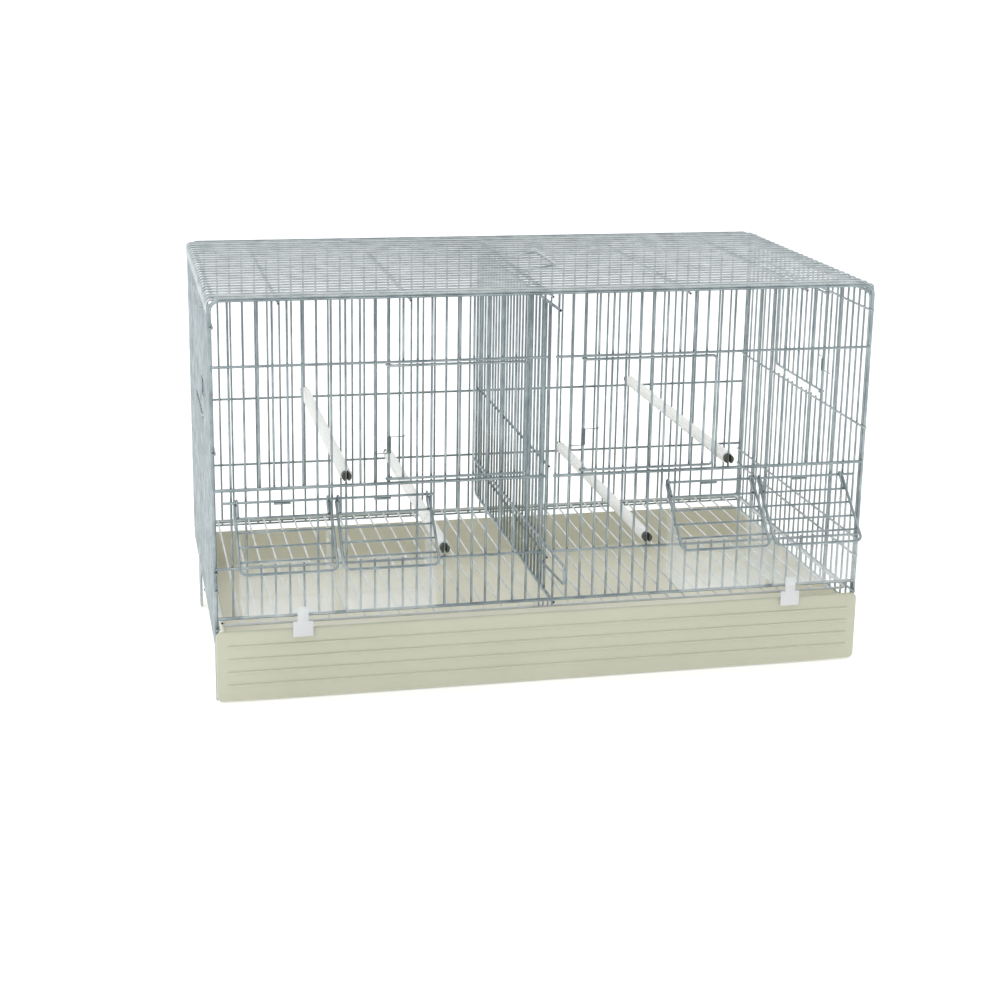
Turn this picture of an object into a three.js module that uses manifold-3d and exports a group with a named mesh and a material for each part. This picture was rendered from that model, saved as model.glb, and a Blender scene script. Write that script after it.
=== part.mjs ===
// Double breeding cage for small finches: six wire panels hooked into a box, with two spring
// doors, four hooded seed troughs, a draw-out divider, four perches and a droppings tray.
// Millimetres, +Z up, the front faces -Y, the origin is under the middle of the outer box.
import * as THREE from 'three';
import { mergeVertices } from 'three/addons/utils/BufferGeometryUtils.js';
import Module from 'manifold-3d';

// ---- driving dimensions ----
const WIDTH = 580;            // over the front frame wires
const FY = -127.8;             // plane of the front wires
const DEPTH = 310;            // front wires to back wires
const BY = FY + DEPTH;        // plane of the back wires
const TOP = 344;              // centre of the top frame wires
const FRAME = 3.4;            // frame wire
const THIN = 2.0;             // bar wire
const CROSS = 2.4;            // cross wire
const PITCH = 12.1;           // bar spacing
const X1 = -274;              // first upright bar
const BARS = 46;
const H1 = 289, H2 = 184, H3 = 115.5, H4 = 70.5;   // cross wires of the front
const B1 = 185.5, B2 = 117.5, B3 = 58;           // cross wires of the back
const ROD_Z = 173.5;          // feeder hinge rod
const SIDE_X = 288.3;         // plane of the side bars
const SIDE_BARS = 24;
const SIDE_FOOT_Z = 46;       // lower edge of the side panels
const SIDE_H = [62, 96, 112, 216, 322];          // cross wires of the sides
const SIDE_DOOR = [8, 18];    // side bars that bound the side door
const GRILLE_Z = 62.3;
const TRAY_TOP = 60.5, TRAY_FLOOR = 16;
const TRAY_X = 281, TRAY_WALL = 52.5, APRON_X = 289.5;
const HOOD_HALF = 39.8, HOOD_OUT = 53.5, HOOD_END_Z = 127.5;
const HOOD_AT = [4.5, 11.5, 35.5, 42.5];         // bar index of each feeder
const CUT_FEED = [[3, 6], [10, 13], [34, 37], [41, 44]];
const CUT_DOOR = [[13, 21], [27, 35]];
const PERCH = [[9, 191.8], [16, 123.4], [37, 191.8], [31, 123.4]];  // bar index, height
const PERCH_R = 5.2, CAP_R = 4.2;
const SLOT_X = X1 + 22.5 * PITCH;                // divider plane
const STUB_OUT = 28.6, LOOP_OUT = 70;            // how far the divider's wires and its pull loop stand out
const LIFT = 4, BACK = 6.3;   // the datum used below lies this far above the floor and in front of the origin

const GAP = 0.3;
const barX = (i) => X1 + (i - 1) * PITCH;
const sideY = (k) => FY + 3.9 + k * PITCH;

// ---- solids ----
const wasm = await Module();
wasm.setup();
const solid = (g) => {
  g = g.clone();
  g.deleteAttribute('normal');
  g.deleteAttribute('uv');
  const m = mergeVertices(g, 1e-5);
  return new wasm.Manifold(new wasm.Mesh({
    numProp: 3,
    vertProperties: new Float32Array(m.attributes.position.array),
    triVerts: new Uint32Array(m.index.array),
  }));
};
const join = (list) => {
  let a = list;
  while (a.length > 1) {
    const b = [];
    for (let i = 0; i < a.length; i += 2) b.push(i + 1 < a.length ? a[i].add(a[i + 1]) : a[i]);
    a = b;
  }
  return a[0];
};
const geometry = (m) => {
  const mesh = m.getMesh();
  const g = new THREE.BufferGeometry();
  g.setAttribute('position', new THREE.BufferAttribute(new Float32Array(mesh.vertProperties), 3));
  g.setIndex(new THREE.BufferAttribute(new Uint32Array(mesh.triVerts), 1));
  g.computeVertexNormals();
  return g;
};
const boxGeometry = (x0, x1, y0, y1, z0, z1) =>
  new THREE.BoxGeometry(x1 - x0, y1 - y0, z1 - z0)
    .translate((x0 + x1) / 2, (y0 + y1) / 2, (z0 + z1) / 2);
const box = (...a) => solid(boxGeometry(...a));
// a straight wire of square section from a to b
const wire = (a, b, d) => {
  const p = new THREE.Vector3(...a), q = new THREE.Vector3(...b);
  const dir = q.clone().sub(p);
  const g = new THREE.BoxGeometry(d, d, dir.length());
  g.applyQuaternion(new THREE.Quaternion().setFromUnitVectors(new THREE.Vector3(0, 0, 1), dir.normalize()));
  const mid = p.add(q).multiplyScalar(0.5);
  return solid(g.translate(mid.x, mid.y, mid.z));
};
// a cylinder along Y
const roundY = (x, z, r, y0, y1, n = 12) => {
  const g = new THREE.CylinderGeometry(r, r, y1 - y0, n);
  return g.translate(x, (y0 + y1) / 2, z);
};
// a closed outline in the Y-Z plane, extruded along X from x0 to x1
const extrudeX = (points, x0, x1) => {
  const s = new THREE.Shape(points.map(([y, z]) => new THREE.Vector2(y, z)));
  const g = new THREE.ExtrudeGeometry(s, { depth: x1 - x0, bevelEnabled: false });
  // shape (x, y) becomes (Y, Z), depth becomes X
  const m = new THREE.Matrix4().set(0, 0, 1, 0, 1, 0, 0, 0, 0, 1, 0, 0, 0, 0, 0, 1);
  g.applyMatrix4(m);
  return g.translate(x0, 0, 0);
};

// an upright plate with rounded corners in the X-Z plane, from y0 to y1
const apron = (x0, x1, z0, z1, r, y0, y1) => {
  const s = new THREE.Shape();
  s.moveTo(x0 + r, z0);
  s.lineTo(x1 - r, z0);
  s.absarc(x1 - r, z0 + r, r, -Math.PI / 2, 0, false);
  s.lineTo(x1, z1 - r);
  s.absarc(x1 - r, z1 - r, r, 0, Math.PI / 2, false);
  s.lineTo(x0 + r, z1);
  s.absarc(x0 + r, z1 - r, r, Math.PI / 2, Math.PI, false);
  s.lineTo(x0, z0 + r);
  s.absarc(x0 + r, z0 + r, r, Math.PI, 1.5 * Math.PI, false);
  const g = new THREE.ExtrudeGeometry(s, { depth: y1 - y0, bevelEnabled: false, curveSegments: 5 });
  return g.rotateX(Math.PI / 2).translate(0, y1, 0);
};

// ---- materials ----
const zinc = () => new THREE.MeshStandardMaterial({ color: 0x8e9ea3, roughness: 0.42, metalness: 0.85 });
const pale = () => new THREE.MeshStandardMaterial({ color: 0xb9c3c4, roughness: 0.45, metalness: 0.7 });
const spring = () => new THREE.MeshStandardMaterial({ color: 0x7c878b, roughness: 0.35, metalness: 0.9 });
const cream = () => new THREE.MeshStandardMaterial({ color: 0xcfd0b8, roughness: 0.5, metalness: 0 });
const clear = () => new THREE.MeshStandardMaterial({ color: 0xdfe8ea, roughness: 0.12, metalness: 0 });
const white = () => new THREE.MeshStandardMaterial({ color: 0xeef0ee, roughness: 0.45, metalness: 0 });
const perchGrey = () => new THREE.MeshStandardMaterial({ color: 0xe2e3de, roughness: 0.5, metalness: 0 });
const olive = () => new THREE.MeshStandardMaterial({ color: 0x2f3325, roughness: 0.5, metalness: 0 });

const cage = new THREE.Group();
cage.name = 'canary_breeding_cage';
const add = (name, shape, material) => {
  const g = (shape.isBufferGeometry ? shape : geometry(shape)).translate(0, BACK, LIFT);
  const mesh = new THREE.Mesh(g, material);
  mesh.name = name;
  cage.add(mesh);
  return mesh;
};

// ---- front and back panels ----
const HX = WIDTH / 2 - FRAME / 2;      // centre of the upright frame wires
const h = FRAME / 2, t = THIN / 2, c = CROSS / 2;
const CORNER = 8;
const panelFrame = (y, low, bottom) => [
  box(-HX - h, -HX + h, y - h, y + h, low, TOP - CORNER),
  box(HX - h, HX + h, y - h, y + h, low, TOP - CORNER),
  box(-HX + CORNER, HX - CORNER, y - h, y + h, TOP - h, TOP + h),
  wire([-HX, y, TOP - CORNER - 0.8], [-HX + CORNER + 0.8, y, TOP], FRAME * 0.96),
  wire([HX, y, TOP - CORNER - 0.8], [HX - CORNER - 0.8, y, TOP], FRAME * 0.96),
  box(-HX, HX, y - h + 0.2, y + h - 0.2, bottom - h + 0.1, bottom + h - 0.1),
];
const inAny = (i, list) => list.some(([a, b]) => i >= a && i <= b);

const front = panelFrame(FY, 58, H4);
for (let i = 1; i <= BARS; i++) {
  const x = barX(i), door = inAny(i, CUT_DOOR), feed = inAny(i, CUT_FEED);
  const deep = (door || feed || i === 23 || i === 24) && i !== 12;
  const y0 = deep ? FY - 2.6 : FY - t, y1 = FY + t;
  const runs = [];
  if (door && feed) runs.push([H1, TOP], [H4, H3]);
  else if (door) runs.push([H1, TOP], [H4, H2]);
  else if (feed) runs.push([H2, TOP], [H4, H3]);
  else runs.push([H4, TOP]);
  for (const [a, b] of runs) front.push(box(x - t, x + t, y0, y1, a, b));
}
// bar 12 carries the left door, so it is only thick where it meets the cross wires
front.push(box(barX(12) - 0.9, barX(12) + 0.9, FY - 2.6, FY, H2 - 1.1, H2 + 1.1));
front.push(box(barX(12) - 0.9, barX(12) + 0.9, FY - 2.6, FY, H3 - 1.1, H3));
for (const z of [H1, H2, H3]) {
  const k = z === H2 ? c + 0.25 : c;
  for (const [a, b] of [[-HX, barX(23) + 0.6], [barX(24) - 0.6, HX]]) {
    front.push(box(a, b, FY - 3.7, FY - 1.3, z - k, z + k));
  }
}
// four short wire ends stand below the bottom wire at the slot
for (const d of [-6.05, -2.1, 2.1, 6.05]) front.push(box(SLOT_X + d - 0.8, SLOT_X + d + 0.8, FY - 0.9, FY + 0.9, 64.9, H4));
add('front_panel', join(front), zinc());

const back = panelFrame(BY, 54, B3);
for (let i = 1; i <= BARS; i++) back.push(box(barX(i) - t, barX(i) + t, BY - t, BY + t, B3, TOP));
for (const z of [B1, B2]) back.push(box(-HX, HX, BY + 1.3, BY + 4, z - c, z + c));
add('back_panel', join(back), zinc());

// ---- roof ----
const ROOF_X = 283.6, RY0 = FY + 4, RY1 = BY - 4;
const roofCross = [4.43, 13.47, 23.5, 33.5, 42.3].map(barX);
const roof = [
  box(-ROOF_X - c, -ROOF_X + c, RY0, RY1, TOP - c, TOP + c),
  box(ROOF_X - c, ROOF_X + c, RY0, RY1, TOP - c, TOP + c),
  box(-ROOF_X, ROOF_X, RY0 - c, RY0 + c, TOP - 1, TOP + 2.4),
  box(-ROOF_X, ROOF_X, RY1 - c, RY1 + c, TOP - 1, TOP + 2.4),
];
const ROOF_BARS = 23;
for (let k = 1; k <= ROOF_BARS; k++) {
  const y = RY0 + (k * (RY1 - RY0)) / (ROOF_BARS + 1);
  const q = k === 1 || k === ROOF_BARS ? 1.3 : t;
  roof.push(box(-ROOF_X, ROOF_X, y - q, y + q, TOP - t, TOP + t));
}
// the cross wires hang under the roof and run out below the frame wires
for (const x of roofCross) {
  roof.push(box(x - 1.1, x + 1.1, FY - 3.5, BY + 3.5, TOP - 4.2, TOP - 2));
  roof.push(box(x - 0.6, x + 0.6, RY0, RY1, TOP - 2.2, TOP - 0.6));
}
add('roof_panel', join(roof), zinc());

// ---- carrying handle: hung on the middle cross wire, its grip laid on the roof wires ----
const PIVOT_Z = TOP - 3.1;
const HZ = TOP + t + GAP + 1.3;                 // centre of the grip
const roofGap = (k) => RY0 + ((k + 0.5) * (RY1 - RY0)) / (ROOF_BARS + 1);
const HANDLE = { x: roofCross[2], y0: roofGap(9), y1: roofGap(15), reach: 34.7 };
add('carry_handle', join([
  wire([HANDLE.x + 2.7, HANDLE.y0, PIVOT_Z + 0.45], [HANDLE.x + HANDLE.reach, HANDLE.y0, HZ], 2.55),
  wire([HANDLE.x + 2.7, HANDLE.y1, PIVOT_Z + 0.45], [HANDLE.x + HANDLE.reach, HANDLE.y1, HZ], 2.55),
  box(HANDLE.x + HANDLE.reach - 1.3, HANDLE.x + HANDLE.reach + 1.3, HANDLE.y0 - 1.2, HANDLE.y1 + 1.2, HZ - 1.3, HZ + 1.3),
]), zinc());

// ---- side panels with legs, and their spring doors ----
const SZ = TOP - 7;                              // top wire of the sides
const REAR_FOOT_BARS = [19, 20];                 // these two bars run down to the floor as a hairpin foot
const REAR_FOOT_Y = (sideY(REAR_FOOT_BARS[0]) + sideY(REAR_FOOT_BARS[1])) / 2;
for (const [side, s] of [['left', -1], ['right', 1]]) {
  const sx = (a, b, y0, y1, z0, z1) => box(Math.min(s * a, s * b), Math.max(s * a, s * b), y0, y1, z0, z1);
  const list = [
    sx(286.2, 289.8, FY + 2.1, FY + 5.3, -LIFT, SZ),
    sx(286.2, 289.8, BY - 5.3, BY - 2.1, SIDE_FOOT_Z - 1.5, SZ),
    sx(286.8, 289.6, FY + 3, BY - 3, SZ - 1.4, SZ + 1.4),
    sx(286.8, 289.6, FY + 3, BY - 3, SIDE_FOOT_Z - 1.4, SIDE_FOOT_Z + 1.4),
    sx(286.9, 289.6, sideY(REAR_FOOT_BARS[0]) - 1.2, sideY(REAR_FOOT_BARS[0]) + 1.2, 0.8 - LIFT, SIDE_FOOT_Z),
    sx(286.9, 289.6, sideY(REAR_FOOT_BARS[1]) - 1.2, sideY(REAR_FOOT_BARS[1]) + 1.2, 0.8 - LIFT, SIDE_FOOT_Z),
    sx(286.7, 289.7, sideY(REAR_FOOT_BARS[0]) - 1.2, sideY(REAR_FOOT_BARS[1]) + 1.2, -LIFT, 2.6 - LIFT),
  ];
  for (const z of SIDE_H) list.push(sx(284.8, 287, FY + 3.4, BY - 3.4, z - 1.1, z + 1.1));
  for (let k = 1; k <= SIDE_BARS; k++) {
    const y = sideY(k), cut = k > SIDE_DOOR[0] && k < SIDE_DOOR[1];
    if (cut) {
      list.push(sx(286, 289.3, y - t, y + t, SIDE_FOOT_Z, SIDE_H[3]));
      list.push(sx(286, 289.3, y - t, y + t, SIDE_H[4], SZ));
    } else list.push(sx(287.3, 289.3, y - t, y + t, SIDE_FOOT_Z, SZ));
  }
  add(`${side}_side_panel`, join(list), zinc());

  const y0 = sideY(SIDE_DOOR[0]), y1 = sideY(SIDE_DOOR[1]) - 3.6;
  const dz0 = SIDE_H[3] + 9, dz1 = SIDE_H[4] - 4;
  const door = [
    sx(287.1, 289.5, y0 + 1.7, y1 + 1.1, dz0 - 1.2, dz0 + 1.2),
    sx(287.1, 289.5, y0 + 1.7, y1 + 1.1, dz1 - 1.2, dz1 + 1.2),
    sx(287.12, 289.48, y1 - 1.2, y1 + 1.2, dz0, dz1),
  ];
  for (let k = SIDE_DOOR[0] + 1; k < SIDE_DOOR[1]; k++) {
    door.push(sx(287.3, 289.3, sideY(k) - t, sideY(k) + t, dz0, dz1));
  }
  add(`side_door_${side}`, join(door), zinc());

  // torsion spring on the hinge bar: a short coil with one arm on the door and one on the panel
  const coil = new THREE.LatheGeometry([[1.7, 0], [2.9, 0], [2.9, 13], [1.7, 13], [1.7, 0]].map((p) => new THREE.Vector2(...p)), 8);
  coil.rotateX(Math.PI / 2).translate(s * SIDE_X, y0, dz0 + 19);
  add(`side_door_spring_${side}`, join([
    solid(coil),
    sx(289.9, 291, y0, y0 + PITCH + 2, dz0 + 30.8, dz0 + 31.9),
    sx(289.7, 290.8, y0 - PITCH - 2, y0, dz0 + 19.1, dz0 + 20.2),
  ]), spring());
}

// ---- front doors and their springs ----
for (const [side, i0, i1] of [['left', 12, 22], ['right', 26, 36]]) {
  const x0 = barX(i0), x1 = barX(i1) - 3.6, z0 = H2 + 4, z1 = H1 - 3.1;
  const list = [
    box(x0 + 1.7, x1 + 1.1, FY - 3.6, FY - 1.2, z0 - 1.2, z0 + 1.2),
    box(x0 + 1.7, x1 + 1.1, FY - 3.6, FY - 1.2, z1 - 1.2, z1 + 1.2),
    box(x1 - 1.2, x1 + 1.2, FY - 3.58, FY - 1.22, z0, z1),
  ];
  for (let i = i0 + 1; i < i1; i++) list.push(box(barX(i) - t, barX(i) + t, FY - 2.2, FY + t, z0, z1));
  add(`door_${side}`, join(list), zinc());

  const coil = new THREE.LatheGeometry([[1.7, 0], [2.9, 0], [2.9, 15.5], [1.7, 15.5], [1.7, 0]].map((p) => new THREE.Vector2(...p)), 8);
  coil.rotateX(Math.PI / 2).translate(x0, FY, 209.5);
  add(`door_spring_${side}`, join([
    solid(coil),
    box(x0, x0 + PITCH + 2, FY - 3.4, FY - 2.4, 223.8, 224.9),
    box(x0 - PITCH - 2, x0, FY - 3.8, FY - 2.7, 209.6, 210.7),
  ]), spring());
}

// ---- feeders: hinge rods, hoods and troughs ----
const ROD_Y = FY - 4.1;
for (const [side, a, b, hoods] of [['left', -282.6, -102.4, [0, 1]], ['right', 104, 280, [2, 3]]]) {
  const rod = [box(a, b, ROD_Y - 1.15, ROD_Y + 1.15, ROD_Z - 1.15, ROD_Z + 1.15)];
  for (const n of hoods) {
    const x = barX(HOOD_AT[n]);
    rod.push(box(x - 7, x + 7, ROD_Y - 1.14, ROD_Y + 1.14, ROD_Z - 3, ROD_Z));
  }
  add(`feeder_hinge_rod_${side}`, join(rod), zinc());
}
const hoodPoint = (u) => [ROD_Y + u * -HOOD_OUT, ROD_Z + u * (HOOD_END_Z - ROD_Z)];
HOOD_AT.forEach((at, n) => {
  const x = barX(at);
  const list = [];
  const [ya, za] = hoodPoint(0.055), [yb, zb] = hoodPoint(1);
  for (const s of [-1, 1]) list.push(wire([x + s * HOOD_HALF, ya, za], [x + s * HOOD_HALF, yb, zb], 2.5));
  for (const u of [0.2, 0.4, 0.6, 0.8]) {
    const [y, z] = hoodPoint(u);
    list.push(box(x - HOOD_HALF, x + HOOD_HALF, y - 0.9, y + 0.9, z - 0.9, z + 0.9));
  }
  list.push(box(x - HOOD_HALF - 1.2, x + HOOD_HALF + 1.2, yb - 0.55, yb + 1.6, zb - 1.2, zb + 1.2));
  add(`feeder_hood_${n + 1}`, join(list), zinc());

  // trough: low front and back, high sloping cheeks
  const W = 37.5, wall = 1.6;
  const outer = [[FY - 4.1, 90.5], [FY - 4.1, 163], [FY - 7, 163], [FY - 52, 126.5], [FY - 52, 125.4], [FY - 57.2, 125.4], [FY - 56.3, 96], [FY - 54, 90.5], [FY - 49, 88], [FY - 9, 88]];
  const inner = [[FY - 2, 123], [FY - 2, 170], [FY - 54.9, 170], [FY - 55.4, 125], [FY - 54.6, 97], [FY - 52.6, 92.1], [FY - 48.4, 89.6], [FY - 9.7, 89.6], [FY - 5.7, 91.5], [FY - 5.7, 123]];
  const trough = solid(extrudeX(outer, x - W, x + W))
    .subtract(solid(extrudeX(inner, x - W + wall, x + W - wall)))
    .add(box(x - 22, x + 22, FY - 5, FY + 0.6, 117.2, 118.8));
  add(`feeder_trough_${n + 1}`, trough, clear());
});

// ---- divider, drawn out through the slot in the front ----
{
  const x = SLOT_X, y0 = FY + 7, y1 = BY - 8, z0 = 78, z1 = 334;
  const list = [
    box(x - 1.3, x + 1.3, y0 - 1.3, y0 + 1.3, z0, z1),
    box(x - 1.3, x + 1.3, y1 - 1.3, y1 + 1.3, z0, z1),
    box(x - 1.3, x + 1.3, FY - STUB_OUT, y1 + 1.28, z1 - 1.25, z1 + 1.3),
    box(x - 1.3, x + 1.3, FY - STUB_OUT, y1 + 1.28, z0 - 1.3, z0 + 1.25),
    wire([x - 2, y1 + 1, 116], [x - 2, FY - LOOP_OUT, 124.5], 2.4),
    wire([x - 2, y0 + 8, 102.5], [x - 2, FY - LOOP_OUT, 108.5], 2.4),
    box(x - 3.2, x - 0.8, FY - LOOP_OUT - 1.2, FY - LOOP_OUT + 1.2, 107.3, 125.7),
  ];
  const n = 23;
  for (let k = 1; k <= n; k++) {
    const y = y0 + (k * (y1 - y0)) / (n + 1);
    list.push(box(x - 1, x + 1, y - 1, y + 1, z0, z1));
  }
  for (const z of [190, 107]) {
    list.push(box(x + 1.3, x + 3.5, y0 - 1, y1 + 1, z - 1.1, z + 1.1));
    for (const y of [y0, y1]) list.push(box(x, x + 2.4, y - 0.9, y + 0.9, z - 1.05, z + 1.05));
  }
  add('divider_grille', join(list), zinc());
}

// ---- floor grille ----
{
  const gx = 284, y0 = FY + 5.4, y1 = BY - 8;
  const list = [
    box(-gx, gx, y0 - 1.3, y0 + 1.3, GRILLE_Z - 1.2, GRILLE_Z + 1.3),
    box(-gx, gx, y1 - 1.3, y1 + 1.3, GRILLE_Z - 1.2, GRILLE_Z + 1.3),
  ];
  const n = 37;
  for (let k = 0; k <= n; k++) {
    const x = -gx + 2 + (k * (2 * gx - 4)) / n;
    list.push(box(x - 1, x + 1, k % 12 ? y0 : y0 - 1, k % 12 ? y1 : y1 + 1, GRILLE_Z - 1, GRILLE_Z + 1));
  }
  add('floor_grille', join(list), pale());
}

// ---- droppings tray, its support wires and its two clips ----
{
  const yb = BY - 12, yf = FY - 4.2, face = FY - 6.6;
  let tray = box(-TRAY_X, TRAY_X, yf, yb, TRAY_FLOOR - 2.4, TRAY_WALL)
    .subtract(box(-TRAY_X + 2.2, TRAY_X - 2.2, yf + 2, yb - 2.2, TRAY_FLOOR, 60))
    .add(solid(apron(-APRON_X, APRON_X, -2.5, TRAY_TOP, 5, face, yf + 0.6)));
  for (let k = 0; k < 4; k++) {
    const z = 11.9 + k * 11.7;
    tray = tray.add(solid(extrudeX([[face + 0.4, z - 1.8], [face - 1, z - 0.7], [face - 1, z + 0.7], [face + 0.4, z + 1.8]].reverse(), -APRON_X + 9, APRON_X - 9)));
  }
  add('droppings_tray', tray, cream());
  for (const [name, y] of [['front', FY + 12], ['rear', REAR_FOOT_Y]]) {
    add(`tray_support_wire_${name}`, boxGeometry(-285.8, 285.8, y - 1.3, y + 1.3, TRAY_FLOOR - 2.4 - GAP - 2.6, TRAY_FLOOR - 2.4 - GAP), zinc());
  }
  for (const [name, i] of [['left', 5.8], ['right', 42.1]]) {
    const x = barX(i);
    add(`tray_clip_${name}`, join([
      box(x - 8.6, x + 8.6, face - 3.2, face - GAP - 1.2, 54, 67.5),
      box(x - 4.6, x + 4.6, face - 3.18, face - 1.6, 67, 80.5),
      box(x - 4.5, x + 4.5, face - 2.6, FY - 2.2, 61, 62.6),
    ]), white());
  }
}

// ---- perches with slotted end caps that straddle a bar ----
PERCH.forEach(([i, z], n) => {
  const x = barX(i);
  add(`perch_${n + 1}`, roundY(x, z, PERCH_R, FY + 2.8, BY - 2.8, 12), perchGrey());
  const cap = (y0, y1, s0, s1) => solid(roundY(x, z, CAP_R, y0, y1, 10)).subtract(box(x - 1.3, x + 1.3, s0, s1, z - 9, z + 9));
  add(`perch_cap_front_${n + 1}`, cap(FY - 4.2, FY + 2.5, FY - 9, FY + 1.35), olive());
  add(`perch_cap_rear_${n + 1}`, cap(BY - 2.5, BY + 4.2, BY - 1.35, BY + 9), olive());
});

export default cage;
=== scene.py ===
import math
import bpy
import bmesh
import numpy as np
from mathutils import Vector, Matrix


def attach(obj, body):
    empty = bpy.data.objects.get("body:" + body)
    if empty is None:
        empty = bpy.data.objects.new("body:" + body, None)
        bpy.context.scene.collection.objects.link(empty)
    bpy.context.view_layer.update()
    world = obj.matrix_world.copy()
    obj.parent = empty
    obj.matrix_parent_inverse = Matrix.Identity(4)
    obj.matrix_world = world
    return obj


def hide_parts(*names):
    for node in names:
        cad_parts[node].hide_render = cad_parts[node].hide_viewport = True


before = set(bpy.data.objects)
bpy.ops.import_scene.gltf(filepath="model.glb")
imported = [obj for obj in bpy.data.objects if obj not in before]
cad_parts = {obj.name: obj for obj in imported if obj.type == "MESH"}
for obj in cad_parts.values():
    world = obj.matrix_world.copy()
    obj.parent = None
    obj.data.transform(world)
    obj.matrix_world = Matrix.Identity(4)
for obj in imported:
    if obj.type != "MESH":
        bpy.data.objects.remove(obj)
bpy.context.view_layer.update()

# ------------------------------------------------------------------ dimensions, mm
FY, DEPTH = -127.8, 310.0
BY = FY + DEPTH
TOP, HX = 344.0, 288.3
PITCH, X1, BARS = 12.1, -274.0, 46
H1, H2, H3, H4 = 289.0, 184.0, 115.5, 70.5
B1, B2, B3 = 185.5, 117.5, 58.0
SIDE_X, SZ, SIDE_LOW = 288.3, 337.0, 46.0
SIDE_H = [62, 96, 112, 216, 322]
ROD_Y, ROD_Z = FY - 4.1, 173.5
HOOD_AT = [4.5, 11.5, 35.5, 42.5]
HOOD_HALF, HOOD_OUT, HOOD_END_Z = 39.8, 53.5, 127.5
SLOT_X = X1 + 22.5 * PITCH
GRILLE_Z = 62.3
STUB, LOOP = 28.6, 70.0
SIDE_DOOR = (8, 18)
BACK, LIFT = 6.3, 4.0      # the datum used below lies this far above the floor and in front of the origin


def bar_x(i):
    return X1 + (i - 1) * PITCH


def side_y(k):
    return FY + 3.9 + k * PITCH


def wob(i, amp=0.22):
    """A small fixed irregularity for bar i, so that no two bars stand exactly alike."""
    return amp * math.sin(i * 12.9898 + 4.1) * math.cos(i * 7.233 + 1.3)


# ------------------------------------------------------------------ mesh helpers
def bend(points, radius, steps=6):
    """A polyline with its corners rounded."""
    pts = [Vector(p) for p in points]
    out = [pts[0]]
    for a, b, c in zip(pts, pts[1:], pts[2:]):
        u, v = (a - b), (c - b)
        lu, lv = u.length, v.length
        u, v = u / lu, v / lv
        cosang = max(-1.0, min(1.0, u.dot(v)))
        half = math.acos(cosang) / 2
        if half > math.pi / 2 - 0.02:
            out.append(b)
            continue
        t = min(radius / math.tan(half), lu * 0.49, lv * 0.49)
        r = t * math.tan(half)
        centre = b + (u + v).normalized() * (r / math.sin(half))
        p0, p1 = b + u * t - centre, b + v * t - centre
        angle = p0.angle(p1)
        axis = p0.cross(p1).normalized()
        n = max(2, int(math.ceil(steps * angle / (math.pi / 2))))
        for k in range(n + 1):
            out.append(centre + Matrix.Rotation(angle * k / n, 3, axis) @ p0)
    out.append(pts[-1])
    return out


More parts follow.
